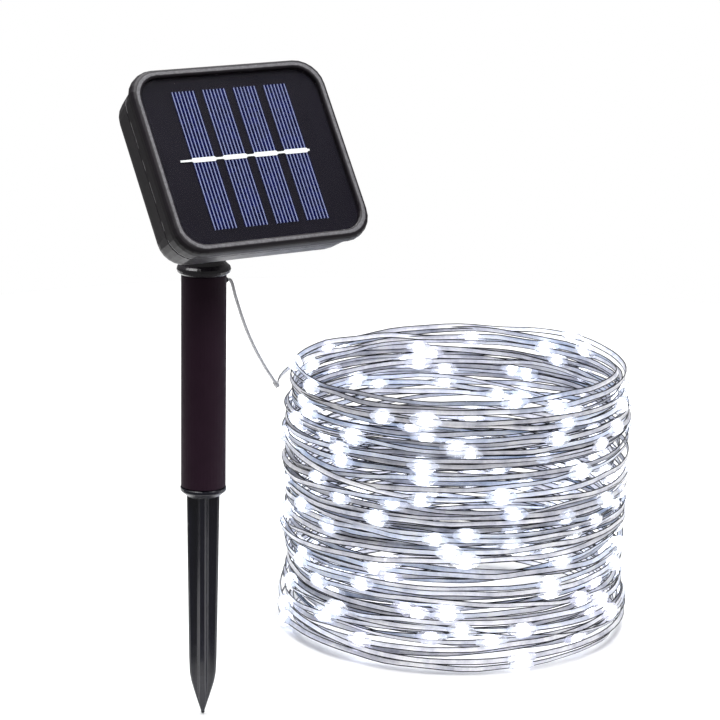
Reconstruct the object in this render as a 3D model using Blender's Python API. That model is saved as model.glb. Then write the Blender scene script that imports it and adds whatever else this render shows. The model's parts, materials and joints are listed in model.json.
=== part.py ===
"""Solar string lights: a solar box that tilts and swivels on a ground stake, and its coil of lights.

The origin is the tip of the ground spike and +Z is up. The panel faces -Y and leans back by PANEL_TILT.
Sizes are in millimetres here, and every mesh is scaled to metres when it is made.
"""

import math

import bmesh
import bpy
from mathutils import Matrix, Vector

MM = 0.001
GAP = 0.3  # clearance between neighbouring pieces

# Stake, from the tip of the spike up
TUBE_RADIUS = 10.0
TUBE_BORE = 8.4
TUBE_BOTTOM = 108.3
TUBE_TOP = 205.2
SHOULDER_RADIUS = 10.3
SHOULDER_TOP = TUBE_BOTTOM - GAP
SHOULDER_BOTTOM = 103.9
BLADE_TOP_HALF_WIDTH = 7.3
FIN_HALF_THICKNESS = 1.8
FIN_FILLET = 1.6
TIP_RADIUS = 0.9
SPIKE_TURN = -32.6  # degrees that the push-fit spike is turned in the tube
RING_RADIUS = 12.0
RING_HEIGHT = 4.0
NECK_RADIUS = 9.75
NECK_TOP = 236.0
PLUG_RADIUS = TUBE_BORE - GAP - 0.1
SPIKE_PLUG_TOP = 126.0
POST_PLUG_BOTTOM = 184.0
O_RING_HEIGHT = 191.15
O_RING_RADIUS = 0.65
O_RING_CENTRE = 7.4

# Tilt hinge
PIVOT_HEIGHT = 246.5
PANEL_TILT = 54.3  # degrees between the panel's face normal and straight up
TONGUE_HALF = 3.0
WASHER_THICKNESS = 0.8
WASHER_RADIUS = 6.0
EAR_INNER = TONGUE_HALF + WASHER_THICKNESS + 2 * GAP
EAR_THICKNESS = 4.0
EAR_OUTER = EAR_INNER + EAR_THICKNESS
EAR_RADIUS = 7.0
EAR_ROOT_HALF = 12.0
EAR_ROOT = 0.8  # how deep each ear is sunk in the shell's back
PIVOT_HOLE = 2.3
PIVOT_SCREW = 2.0
PIVOT_SCREW_END = -14.0
PIVOT_SCREW_HEAD = 4.0
NUT_RADIUS = 4.4
NUT_HEIGHT = 3.4

# Solar box. In its own frame X is to the right, Y up the slope, and Z out of the panel from its flat back
BOX_BACK = 19.6  # from the pivot to the back of the box, along the face normal
BOX_DROP = 9.0  # how far the box's centre is down the slope from the pivot
BOX_HALF_X = 47.3
BOX_HALF_Y = 42.9
BOX_CORNER = 12.5
BOX_DEPTH = 25.0
FLANGE_BASE = 20.0
FLANGE_OVERHANG = 1.1
DRAFT = 0.14  # how much the sides draw in for each millimetre below the flange
X_RELIEF = 0.04  # how much less than that the left and right sides draw in
RISE = 0.06  # how far the outline moves up the slope for each millimetre below the flange
CORNER_SHRINK = 0.55  # how much the corner radius shrinks for each millimetre of inset
SHELL_WALL = 2.0
SHELL_FLOOR = 1.6
SHELL_RIM = 12.5
TENON_INSET = 4.9
TENON_WIDTH = 1.6
TENON_TOP = SHELL_RIM + 1.8
BEZEL_BASE = SHELL_RIM + GAP
BEZEL_SKIRT_INSET = 3.5
RIM_WIDTH = 3.9
RECESS_FLOOR = 20.7
SHELF_INSET = 8.5
SHELF_THICKNESS = 1.5
POST_X = 35.5
POST_Y = 31.1
POST_RADIUS = 3.4
BOSS_RADIUS = 4.4

# Solar panel
CELL_COUNT = 4
CELL_WIDTH = 11.2
CELL_HEIGHT = 64.5
CELL_PITCH = 15.0
CELL_FACE = 22.9
CELL_THICKNESS = 0.2
PANEL_HALF_X = BOX_HALF_X - RIM_WIDTH - GAP
PANEL_HALF_Y = BOX_HALF_Y - RIM_WIDTH - GAP
PANEL_CORNER = BOX_CORNER - CORNER_SHRINK * RIM_WIDTH - GAP
COVER_TOP = 23.8
RIBBON_LEFT = -33.8
RIBBON_RIGHT = 29.2
RIBBON_WIDE = 1.05  # half-width over a cell
RIBBON_NARROW = 0.45  # half-width between cells
RIBBON_THICKNESS = 0.15
SCREW_TIP = 19.2
SCREW_RADIUS = 1.0
SCREW_HEAD_RADIUS = 2.25
SCREW_HEAD_TOP = 4.9

# Inside the box
BATTERY_RADIUS = 7.1
BATTERY_Y = -22.0
BATTERY_AXIS = 9.05
BATTERY_LOW = -22.0
BATTERY_LENGTH = 47.4
BATTERY_NIPPLE = 2.8
HOLDER_HALF_SIZE = (30.6, 9.6)
HOLDER_TOP = 9.0
CONTACT_X = 27.6  # of the flat contact, and of the spring's wide end on the other side
SPRING_TURNS = 3
SPRING_LENGTH = 4.6
SPRING_WIDE = 4.6
SPRING_NARROW = 3.0
SPRING_WIRE = 0.4
BOARD_Y = 20.0
BOARD_UNDERSIDE = 8.6
BOARD_THICKNESS = 1.2
BOARD_PEGS = ((-19, 10.5), (19, 10.5), (-19, 29.5), (19, 29.5))
BUTTON_X = 15.0
BUTTON_Y = 22.0
BUTTON_RADIUS = 3.0
BUTTON_PROUD = 1.2

# Lead and coil of lights
GROMMET_ANGLE = 10.0
GROMMET_HEIGHT = 200.6
GROMMET_NOSE = 13.0
GROMMET_WAIST = 1.6
LEAD_RADIUS = 0.75
LEAD_SPACING = 3.6
COIL_CENTRE = (175.1, 56.1)
COIL_OUTER = 86.8
COIL_INNER = 76.0
COIL_HEIGHT = 130.0
SLEEVE_LENGTH = 7.0
SLEEVE_RADIUS = 1.3
END_CAP_ANGLE = 60.0
END_CAP_RADIUS = 1.6
END_CAP_LENGTH = 8.0
END_CAP_CLEARANCE = 1.2
LEAD_ROUTE = [
    (13.1, 2.3, 200.6),
    (14.7, 2.6, 200.3),
    (16.5, 3.7, 198.3),
    (18.6, 5.9, 194.9),
    (21.3, 9.0, 190.9),
    (25.5, 13.8, 185.5),
    (30.1, 19.3, 179.9),
    (35.1, 25.2, 174.2),
    (40.5, 31.7, 168.4),
    (46.3, 38.6, 162.6),
    (52.5, 45.9, 156.7),
    (60.4, 55.3, 149.6),
    (68.7, 65.1, 142.5),
    (77.0, 75.0, 135.7),
    (85.4, 84.9, 129.1),
    (93.4, 94.4, 122.9),
]

MATERIALS = {
    "black_abs": ((0.020, 0.017, 0.019), 0.45, 0.0),
    "tube_plastic": ((0.019, 0.012, 0.018), 0.55, 0.0),
    "spike_plastic": ((0.016, 0.016, 0.019), 0.35, 0.0),
    "panel_board": ((0.010, 0.010, 0.014), 0.40, 0.0),
    "solar_cell": ((0.010, 0.016, 0.130), 0.30, 0.0),
    "clear_resin": ((0.900, 0.920, 0.950), 0.08, 0.0),
    "tinned_ribbon": ((0.850, 0.860, 0.870), 0.30, 1.0),
    "seal_rubber": ((0.030, 0.030, 0.032), 0.80, 0.0),
    "screw_steel": ((0.450, 0.450, 0.470), 0.35, 1.0),
    "circuit_green": ((0.020, 0.150, 0.060), 0.45, 0.0),
    "chip_black": ((0.015, 0.015, 0.016), 0.50, 0.0),
    "ferrite": ((0.070, 0.070, 0.075), 0.60, 0.0),
    "switch_metal": ((0.600, 0.600, 0.620), 0.35, 1.0),
    "button_rubber": ((0.090, 0.090, 0.095), 0.70, 0.0),
    "battery_wrap": ((0.080, 0.320, 0.120), 0.35, 0.0),
    "contact_nickel": ((0.700, 0.690, 0.650), 0.30, 1.0),
    "lead_grey": ((0.520, 0.520, 0.540), 0.45, 0.0),
    "light_wire": ((0.700, 0.710, 0.760), 0.35, 0.0),
}


def make_material(name):
    colour, roughness, metallic = MATERIALS[name]
    material = bpy.data.materials.get(name) or bpy.data.materials.new(name)
    material.use_nodes = True
    shader = material.node_tree.nodes["Principled BSDF"]
    shader.inputs["Base Color"].default_value = (*colour, 1.0)
    shader.inputs["Roughness"].default_value = roughness
    shader.inputs["Metallic"].default_value = metallic
    return material


def clear_scene():
    for obj in list(bpy.data.objects):
        bpy.data.objects.remove(obj, do_unlink=True)


def place(obj, location, rotation, parent):
    bpy.context.scene.collection.objects.link(obj)
    obj.location = Vector(location) * MM
    obj.rotation_euler = [math.radians(angle) for angle in rotation]
    obj.parent = parent
    return obj


def make_object(name, bm, material, location=(0, 0, 0), rotation=(0, 0, 0), parent=None):
    """Turns a bmesh in millimetres into a placed object in metres, and frees it."""
    bmesh.ops.recalc_face_normals(bm, faces=bm.faces)
    bm.transform(Matrix.Scale(MM, 4))
    mesh = bpy.data.meshes.new(name)
    bm.to_mesh(mesh)
    bm.free()
    mesh.shade_smooth()
    mesh.set_sharp_from_angle(angle=math.radians(35))
    mesh.materials.append(make_material(material))
    return place(bpy.data.objects.new(name, mesh), location, rotation, parent)


def combine(target, tool, operation):
    """Joins the tool to the target, or cuts it out, and hides the tool."""
    modifier = target.modifiers.new(f"{operation.lower()}_{tool.name}", "BOOLEAN")
    modifier.operation = operation
    modifier.solver = "EXACT"
    modifier.object = tool
    tool.hide_render = True
    tool.display_type = "WIRE"


def bridge(bm, ring_a, ring_b):
    """Faces between two rings of points. A ring of one point is a pole."""
    count = max(len(ring_a), len(ring_b))
    for i in range(count):
        j = (i + 1) % count
        near = [ring_a[i % len(ring_a)], ring_a[j % len(ring_a)]]
        far = [ring_b[j % len(ring_b)], ring_b[i % len(ring_b)]]
        bm.faces.new(list(dict.fromkeys(near + far)))


def loft(rings, closed=False):
    """A closed surface through rings of points, with end caps unless the last ring joins the first."""
    bm = bmesh.new()
    rows = [[bm.verts.new(point) for point in ring] for ring in rings]
    for row_a, row_b in zip(rows, rows[1:]):
        bridge(bm, row_a, row_b)
    if closed:
        bridge(bm, rows[-1], rows[0])
        return bm
    for row in (rows[0], rows[-1]):
        if len(row) > 1:
            bm.faces.new(row)
    return bm


def revolve(profile, steps=40, closed=False):
    """Turns a profile of (radius, height) points about Z."""
    rings = []
    for radius, height in profile:
        if radius < 1e-6:
            rings.append([(0, 0, height)])
            continue
        angles = [2 * math.pi * i / steps for i in range(steps)]
        rings.append([(radius * math.cos(a), radius * math.sin(a), height) for a in angles])
    return loft(rings, closed)


def cylinder(radius, low, high, steps=32, chamfer=0.0):
    if chamfer == 0:
        return revolve([(radius, low), (radius, high)], steps)
    inner = radius - chamfer
    profile = [(inner, low), (radius, low + chamfer), (radius, high - chamfer), (inner, high)]
    return revolve(profile, steps)


def rounded_rectangle(half_x, half_y, radius, height, corner_steps=6):
    """Points around a rounded rectangle at one height."""
    points = []
    for quarter, (side_x, side_y) in enumerate(((1, 1), (-1, 1), (-1, -1), (1, -1))):
        centre_x = side_x * (half_x - radius)
        centre_y = side_y * (half_y - radius)
        for step in range(corner_steps + 1):
            angle = math.radians(90 * (quarter + step / corner_steps))
            points.append((centre_x + radius * math.cos(angle), centre_y + radius * math.sin(angle), height))
    return points


def box_outline(inset, height):
    """The box's outline at a height, drawn in by an inset. Below the flange it rises and is wider."""
    below = max(0.0, FLANGE_BASE - height)
    radius = BOX_CORNER - CORNER_SHRINK * inset
    outline = rounded_rectangle(BOX_HALF_X - inset + X_RELIEF * below, BOX_HALF_Y - inset, radius, height)
    return [(x, y + RISE * below, z) for x, y, z in outline]


def side_inset(height):
    """How far the drafted side of the box is inside its outline at a height under the flange."""
    return FLANGE_OVERHANG + DRAFT * (FLANGE_BASE - height)


def plate(half_x, half_y, radius, low, high):
    rings = [rounded_rectangle(half_x, half_y, radius, height) for height in (low, high)]
    return loft(rings)


def block(size_x, size_y, low, high, bevel=0.2):
    """A box about the Z axis, with bevelled edges."""
    bm = bmesh.new()
    bmesh.ops.create_cube(bm, size=1.0)
    bm.transform(Matrix.Diagonal((size_x, size_y, high - low, 1)))
    bm.transform(Matrix.Translation((0, 0, (low + high) / 2)))
    if bevel:
        bmesh.ops.bevel(bm, geom=bm.edges[:], offset=bevel, segments=1, affect="EDGES")
    return bm


def prism_along_x(outline, low, high):
    """An outline of (y, z) points, pulled along X."""
    return loft([[(x, y, z) for y, z in outline] for x in (low, high)])


def arc(centre, radius, start, end, steps):
    """Points of an arc in a plane, with angles in degrees."""
    angles = [math.radians(start + (end - start) * i / steps) for i in range(steps + 1)]
    return [(centre[0] + radius * math.cos(a), centre[1] + radius * math.sin(a)) for a in angles]


def smooth_curve(route, spacing):
    """Points at even spacing along a smooth curve through the route's points."""
    points = [Vector(point) for point in route]
    padded = [2 * points[0] - points[1], *points, 2 * points[-1] - points[-2]]
    dense = []
    for before, start, end, after in zip(padded, padded[1:], padded[2:], padded[3:]):
        for step in range(12):
            t = step / 12
            pull = (end - before) * t + (2 * before - 5 * start + 4 * end - after) * t * t
            twist = (3 * start - before - 3 * end + after) * t**3
            dense.append(start + 0.5 * (pull + twist))
    dense.append(points[-1])
    lengths = [(b - a).length for a, b in zip(dense, dense[1:])]
    count = max(2, round(sum(lengths) / spacing))
    even = []
    travelled = 0.0
    index = 0
    for step in range(count + 1):
        target = sum(lengths) * step / count
        while index < len(lengths) - 1 and travelled + lengths[index] < target:
            travelled += lengths[index]
            index += 1
        share = min(1.0, (target - travelled) / lengths[index])
        even.append(dense[index].lerp(dense[index + 1], share))
    return even


def make_tube(name, points, radius, material, location=(0, 0, 0), parent=None):
    """A round wire through points, with closed ends."""
    curve = bpy.data.curves.new(name, "CURVE")
    curve.dimensions = "3D"
    curve.bevel_depth = radius * MM
    curve.bevel_resolution = 2
    curve.use_fill_caps = True
    spline = curve.splines.new("POLY")
    spline.points.add(len(points) - 1)
    for spline_point, point in zip(spline.points, points):
        spline_point.co = (*(Vector(point) * MM), 1.0)
    curve.materials.append(make_material(material))
    return place(bpy.data.objects.new(name, curve), location, (0, 0, 0), parent)


def cross_section(half_width, height):
    """Four fins that meet in filleted corners."""
    half_thick = min(FIN_HALF_THICKNESS, 0.7 * half_width)
    edge = min(0.45 * half_thick, 0.3 * (half_width - half_thick))
    fillet = min(FIN_FILLET, 0.6 * (half_width - half_thick))
    corner = half_thick + fillet
    quarter = [(half_width - edge, -half_thick), (half_width, edge - half_thick)]
    quarter += [(half_width, half_thick - edge), (half_width - edge, half_thick)]
    quarter += arc((corner, corner), fillet, 270, 180, 3)
    points = []
    for turn in range(4):
        cos, sin = ((1, 0), (0, 1), (-1, 0), (0, -1))[turn]
        points += [(x * cos - y * sin, x * sin + y * cos, height) for x, y in quarter]
    return points


def make_spike():
    """A four-finned blade with a ball tip, a round shoulder, and a plug that is pushed into the tube."""
    outline = [(1.2, 0.7), (5.5, 2.0), (9.0, 3.1), (12.5, 4.2), (16.0, 5.2), (20.0, 5.9), (27.0, 6.2)]
    outline += [(60.0, 6.7), (SHOULDER_BOTTOM + 0.6, BLADE_TOP_HALF_WIDTH)]
    blade = make_object("blade", loft([cross_section(width, z) for z, width in outline]), "spike_plastic")
    ball = [(radius, TIP_RADIUS + z) for z, radius in arc((0, 0), TIP_RADIUS, 180, 0, 8)]
    tip = make_object("tip_ball", revolve(ball, 12), "spike_plastic")
    plug = PLUG_RADIUS
    shoulder = SHOULDER_RADIUS
    profile = [(BLADE_TOP_HALF_WIDTH + 0.2, SHOULDER_BOTTOM), (shoulder - 0.2, SHOULDER_BOTTOM + 2.3)]
    profile += [(shoulder, SHOULDER_BOTTOM + 2.7), (shoulder, SHOULDER_TOP - 0.3)]
    profile += [(shoulder - 0.3, SHOULDER_TOP), (plug, SHOULDER_TOP)]
    profile += [(plug, SPIKE_PLUG_TOP - 2.0), (plug - 1.0, SPIKE_PLUG_TOP)]
    spike = make_object("ground_spike", revolve(profile), "spike_plastic", rotation=(0, 0, SPIKE_TURN))
    for tool in (blade, tip):
        tool.parent = spike
        combine(spike, tool, "UNION")


def make_tube_and_grommet():
    """The tube with its cable hole, and the rubber grommet that snaps into the hole."""
    outer = TUBE_RADIUS
    profile = [(TUBE_BORE, TUBE_BOTTOM), (outer - 0.3, TUBE_BOTTOM), (outer, TUBE_BOTTOM + 0.3)]
    profile += [(outer, TUBE_TOP - 0.3), (outer - 0.3, TUBE_TOP), (TUBE_BORE, TUBE_TOP)]
    tube = make_object("stake_tube", revolve(profile, closed=True), "tube_plastic")
    at = {"location": (0, 0, GROMMET_HEIGHT), "rotation": (0, 90, GROMMET_ANGLE)}
    hole = cylinder(GROMMET_WAIST + GAP, TUBE_BORE / 2, outer + 5, 24)
    combine(tube, make_object("cut_grommet_hole", hole, "tube_plastic", **at), "DIFFERENCE")
    waist = GROMMET_WAIST
    inside = TUBE_BORE - 0.8
    outside = outer + 0.4
    profile = [(2.2, inside - 0.7), (2.4, inside - 0.5), (2.4, inside), (waist, inside), (waist, outside)]
    profile += [(2.6, outside), (2.6, outside + 0.4), (2.2, outside + 0.8), (1.7, outside + 1.0)]
    profile.append((1.25, GROMMET_NOSE))
    make_object("lead_grommet", revolve(profile, 24), "seal_rubber", **at)


def make_swivel_post():
    """A plug with a seal groove that turns in the tube, then the ring, the neck, and the hinge's tongue."""
    plug = PLUG_RADIUS
    groove = O_RING_RADIUS + GAP
    groove_radius = 6.4
    waist = 5.2  # clears the grommet's flange and the lead inside the tube
    ring_low = TUBE_TOP + GAP
    ring_high = ring_low + RING_HEIGHT
    edge = RING_RADIUS - 1.2
    bulge = RING_RADIUS - 0.3
    profile = [(plug - 0.8, POST_PLUG_BOTTOM), (plug, POST_PLUG_BOTTOM + 0.8), (plug, O_RING_HEIGHT - groove)]
    profile += [(groove_radius, O_RING_HEIGHT - groove), (groove_radius, O_RING_HEIGHT + groove)]
    profile += [(plug, O_RING_HEIGHT + groove), (plug, 195.5), (waist, 196.3), (waist, 203.4), (plug, 203.9)]
    profile += [(plug, ring_low), (edge, ring_low), (bulge, ring_low + 0.8), (RING_RADIUS, ring_low + 1.9)]
    profile += [(bulge, ring_high - 0.9), (edge, ring_high - 0.1), (NECK_RADIUS + 0.75, ring_high)]
    profile += [(NECK_RADIUS + 0.55, ring_high + 0.4), (NECK_RADIUS, ring_high + 0.6)]
    profile += [(NECK_RADIUS, NECK_TOP - 3.5), (NECK_RADIUS - 0.55, NECK_TOP - 1.4)]
    profile.append((NECK_RADIUS - 1.95, NECK_TOP))
    post = make_object("swivel_post", revolve(profile), "black_abs")
    centre = (0, PIVOT_HEIGHT)
    root = NECK_TOP - 6.0
    outline = [(-EAR_RADIUS, root), (EAR_RADIUS, root)] + arc(centre, EAR_RADIUS, 0, 180, 16)
    tongue = make_object("tongue", prism_along_x(outline, -TONGUE_HALF, TONGUE_HALF), "black_abs")
    combine(post, tongue, "UNION")
    hole = make_object("cut_pivot_hole", cylinder(PIVOT_HOLE, -12, 12, 24), "black_abs")
    hole.location.z = PIVOT_HEIGHT * MM
    hole.rotation_euler.y = math.radians(90)
    combine(post, hole, "DIFFERENCE")
    section = arc((O_RING_CENTRE, O_RING_HEIGHT), O_RING_RADIUS, 0, 300, 5)
    make_object("post_o_ring", revolve(section, 24, closed=True), "seal_rubber")


def make_hinge(head):
    """A washer each side of the tongue, a cross-head screw through tongue and ears, and its nut."""
    across = {"rotation": (0, 90, 0), "parent": head}
    for side, name in ((-1, "hinge_washer_1"), (1, "hinge_washer_2")):
        inner = TONGUE_HALF + GAP
        outer = inner + WASHER_THICKNESS
        profile = [(PIVOT_HOLE, inner), (WASHER_RADIUS, inner), (WASHER_RADIUS, outer), (PIVOT_HOLE, outer)]
        washer = revolve([(radius, side * height) for radius, height in profile], 24, closed=True)
        make_object(name, washer, "screw_steel", **across)
    head_low = EAR_OUTER + GAP
    wide = PIVOT_SCREW_HEAD
    profile = [(PIVOT_SCREW - 0.4, PIVOT_SCREW_END), (PIVOT_SCREW, PIVOT_SCREW_END + 0.4)]
    profile += [(PIVOT_SCREW, head_low), (wide, head_low), (wide, head_low + 1.4)]
    profile += [(wide - 0.8, head_low + 2.3), (wide - 2.2, head_low + 2.7)]
    screw = make_object("hinge_screw", revolve(profile, 24), "screw_steel", **across)
    add_cross_slot(screw, head_low + 1.5, head_low + 4, 4.2, 0.9, head)
    high = -(EAR_OUTER + GAP)
    low = high - NUT_HEIGHT
    nut = make_object("hinge_nut", cylinder(NUT_RADIUS, low, high, 6, 0.3), "screw_steel", **across)
    bore = cylinder(PIVOT_SCREW + GAP, low - 2, high + 2, 24)
    combine(nut, make_object("cut_nut_bore", bore, "screw_steel", **across), "DIFFERENCE")


def add_cross_slot(screw, low, high, length, width, parent):
    """Cuts a cross recess into a screw's head."""
    for index, (size_x, size_y) in enumerate(((length, width), (width, length))):
        slot = block(size_x, size_y, low, high, bevel=0)
        tool = make_object(f"cut_{screw.name}_{index}", slot, "screw_steel", parent=parent)
        tool.location = screw.location
        tool.rotation_euler = screw.rotation_euler
        combine(screw, tool, "DIFFERENCE")


def screw_places():
    """The four housing screws' places, anticlockwise from the lower left."""
    sides = ((-1, -1), (1, -1), (1, 1), (-1, 1))
    return [(side_x * POST_X, side_y * POST_Y) for side_x, side_y in sides]


def make_rear_shell(box):
    """A drafted tray with a tenon round its rim, a post for each screw, and two hinge ears on its back."""
    inner = [side_inset(height) + SHELL_WALL for height in (SHELL_FLOOR + 1.0, SHELL_RIM - 3.6)]
    tenon_inner = TENON_INSET + TENON_WIDTH
    rings = [(side_inset(0) + 3.0, 0.0), (side_inset(0) + 1.5, 0.35), (side_inset(1.2) + 0.55, 1.2)]
    rings += [(side_inset(2.5) + 0.12, 2.5), (side_inset(4.0), 4.0)]
    rings += [(side_inset(SHELL_RIM) + 0.06, SHELL_RIM - 0.3)]
    rings += [(side_inset(SHELL_RIM) + 0.35, SHELL_RIM), (TENON_INSET, SHELL_RIM), (TENON_INSET, TENON_TOP)]
    rings += [(tenon_inner, TENON_TOP), (tenon_inner, SHELL_RIM - 2.0), (inner[1], SHELL_RIM - 3.6)]
    rings += [(inner[0], SHELL_FLOOR + 1.0), (inner[0] + 1.0, SHELL_FLOOR)]
    shell = make_object("rear_shell", loft([box_outline(*ring) for ring in rings]), "black_abs", parent=box)
    for index, (x, y) in enumerate(screw_places()):
        at = {"location": (x, y, 0), "parent": box}
        post = cylinder(POST_RADIUS, SHELL_FLOOR / 2, SHELL_RIM + 1.5, 24)
        combine(shell, make_object(f"shell_post_{index}", post, "black_abs", **at), "UNION")
        wide = SCREW_HEAD_RADIUS + 0.35
        narrow = SCREW_RADIUS + 0.4
        seat = SCREW_HEAD_TOP + GAP
        profile = [(wide, -1.0), (wide, seat), (narrow, seat), (narrow, SHELL_RIM + 3.5)]
        cutter = make_object(f"cut_screw_{index}", revolve(profile, 24), "black_abs", **at)
        combine(shell, cutter, "DIFFERENCE")
    for index, (x, y) in enumerate(BOARD_PEGS):
        at = {"location": (x, y, 0), "parent": box}
        peg = cylinder(1.8, SHELL_FLOOR / 2, BOARD_UNDERSIDE - GAP, 12)
        combine(shell, make_object(f"board_peg_{index}", peg, "black_abs", **at), "UNION")
    add_hinge_ears(shell, box)
    for side in (-1, 1):
        at = {"location": (side * BUTTON_X, BUTTON_Y, 0), "parent": box}
        hole = cylinder(BUTTON_RADIUS + GAP, -2, 5, 24)
        combine(shell, make_object(f"cut_button_{side + 2}", hole, "black_abs", **at), "DIFFERENCE")


def add_hinge_ears(shell, box):
    """Two ears on the back of the shell, one each side of the tongue, with the pivot hole through both."""
    pivot = (BOX_DROP, -BOX_BACK)
    lean = math.degrees(math.atan2(EAR_ROOT_HALF - EAR_RADIUS, BOX_BACK))
    outline = [(BOX_DROP + EAR_ROOT_HALF, EAR_ROOT)]
    outline += arc(pivot, EAR_RADIUS, -lean, -180 + lean, 14)
    outline += [(BOX_DROP - EAR_ROOT_HALF, EAR_ROOT)]
    for side in (-1, 1):
        ear = prism_along_x(outline, side * EAR_INNER, side * EAR_OUTER)
        combine(shell, make_object(f"hinge_ear_{side + 2}", ear, "black_abs", parent=box), "UNION")
    at = {"location": (0, BOX_DROP, -BOX_BACK), "rotation": (0, 90, 0), "parent": box}
    hole = make_object("cut_ear_holes", cylinder(PIVOT_HOLE, -20, 20, 24), "black_abs", **at)
    combine(shell, hole, "DIFFERENCE")


def make_bezel(box):
    """The front frame: drafted skirt, overhanging flange, rim, recess with a shelf, and screw bosses."""
    top = BOX_DEPTH
    skirt_top = BEZEL_BASE + 1.8
    shelf_low = RECESS_FLOOR - SHELF_THICKNESS
    rings = [(side_inset(BEZEL_BASE) + 0.35, BEZEL_BASE), (side_inset(BEZEL_BASE) - 0.06, BEZEL_BASE + 0.3)]
    rings += [(FLANGE_OVERHANG, FLANGE_BASE), (0.5, FLANGE_BASE), (0.0, FLANGE_BASE + 0.5), (0.0, top - 2.4)]
    rings += [(0.2, top - 1.4), (0.7, top - 0.6), (1.4, top - 0.12), (2.0, top), (3.0, top)]
    rings += [(RIM_WIDTH - 0.4, top - 0.15), (RIM_WIDTH, top - 0.6)]
    rings += [(RIM_WIDTH, RECESS_FLOOR), (SHELF_INSET, RECESS_FLOOR)]
    rings += [(SHELF_INSET, shelf_low), (5.0, shelf_low), (RIM_WIDTH, shelf_low - 0.8), (4.6, skirt_top)]
    rings += [(BEZEL_SKIRT_INSET, skirt_top), (BEZEL_SKIRT_INSET, BEZEL_BASE)]
    frame = loft([box_outline(*ring) for ring in rings], closed=True)
    bezel = make_object("front_bezel", frame, "black_abs", parent=box)
    boss_low = TENON_TOP + 0.5
    for index, (x, y) in enumerate(screw_places()):
        at = {"location": (x, y, 0), "parent": box}
        boss = cylinder(BOSS_RADIUS, boss_low, RECESS_FLOOR - 0.5, 24)
        combine(bezel, make_object(f"bezel_boss_{index}", boss, "black_abs", **at), "UNION")
        pilot = cylinder(1.3, boss_low - 1.0, SCREW_TIP + 0.4, 16)
        combine(bezel, make_object(f"cut_pilot_{index}", pilot, "black_abs", **at), "DIFFERENCE")
    low = BEZEL_BASE
    high = BEZEL_BASE + 1.3
    outer = BEZEL_SKIRT_INSET + GAP
    inner = TENON_INSET - GAP
    seal = [box_outline(*ring) for ring in ((outer, low), (outer, high), (inner, high), (inner, low))]
    make_object("seal_gasket", loft(seal, closed=True), "seal_rubber", parent=box)


def make_housing_screws(box):
    """Four screws, sunk in the back, that hold the rear shell to the bezel's bosses."""
    head = SCREW_HEAD_RADIUS
    low = SCREW_HEAD_TOP - 1.7
    profile = [(head - 0.35, low), (head, low + 0.3), (head, SCREW_HEAD_TOP), (SCREW_RADIUS, SCREW_HEAD_TOP)]
    profile += [(SCREW_RADIUS, SCREW_TIP - 0.6), (SCREW_RADIUS - 0.6, SCREW_TIP)]
    for index, (x, y) in enumerate(screw_places()):
        at = {"location": (x, y, 0), "parent": box}
        screw = make_object(f"housing_screw_{index + 1}", revolve(profile, 20), "screw_steel", **at)
        add_cross_slot(screw, low - 1.2, low + 1.0, 2.8, 0.7, box)


def make_panel(box):
    """Black board, cell strips, the ribbon across them, and the clear cover, each a little above the last."""
    step = 0.1
    ribbon_top = CELL_FACE + step + RIBBON_THICKNESS
    board_top = CELL_FACE - CELL_THICKNESS - step
    board = plate(PANEL_HALF_X, PANEL_HALF_Y, PANEL_CORNER, RECESS_FLOOR + GAP, board_top)
    make_object("panel_board", board, "panel_board", parent=box)
    for index in range(CELL_COUNT):
        x = (index - (CELL_COUNT - 1) / 2) * CELL_PITCH
        cell = block(CELL_WIDTH, CELL_HEIGHT, CELL_FACE - CELL_THICKNESS, CELL_FACE, bevel=0)
        make_object(f"solar_cell_{index + 1}", cell, "solar_cell", (x, 0, 0), parent=box)
    make_object("cell_ribbon", ribbon(CELL_FACE + step, ribbon_top), "tinned_ribbon", parent=box)
    cover = plate(PANEL_HALF_X, PANEL_HALF_Y, PANEL_CORNER, ribbon_top + step, COVER_TOP)
    make_object("panel_cover", cover, "clear_resin", parent=box)


def ribbon(low, high):
    """A strip across the cells, wide over each cell and narrow between them, with a tail on the left."""
    upper = [(RIBBON_LEFT, RIBBON_NARROW)]
    for index in range(CELL_COUNT):
        centre = (index - (CELL_COUNT - 1) / 2) * CELL_PITCH
        for side in (-1, 1):
            edge = centre + side * CELL_WIDTH / 2
            upper += [(edge + side * 0.3, RIBBON_NARROW), (edge - side * 0.3, RIBBON_WIDE)]
    upper = sorted(upper) + [(RIBBON_RIGHT, RIBBON_NARROW)]
    outline = upper + [(x, -y) for x, y in reversed(upper)]
    return loft([[(x, y, height) for x, y in outline] for height in (low, high)])


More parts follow.
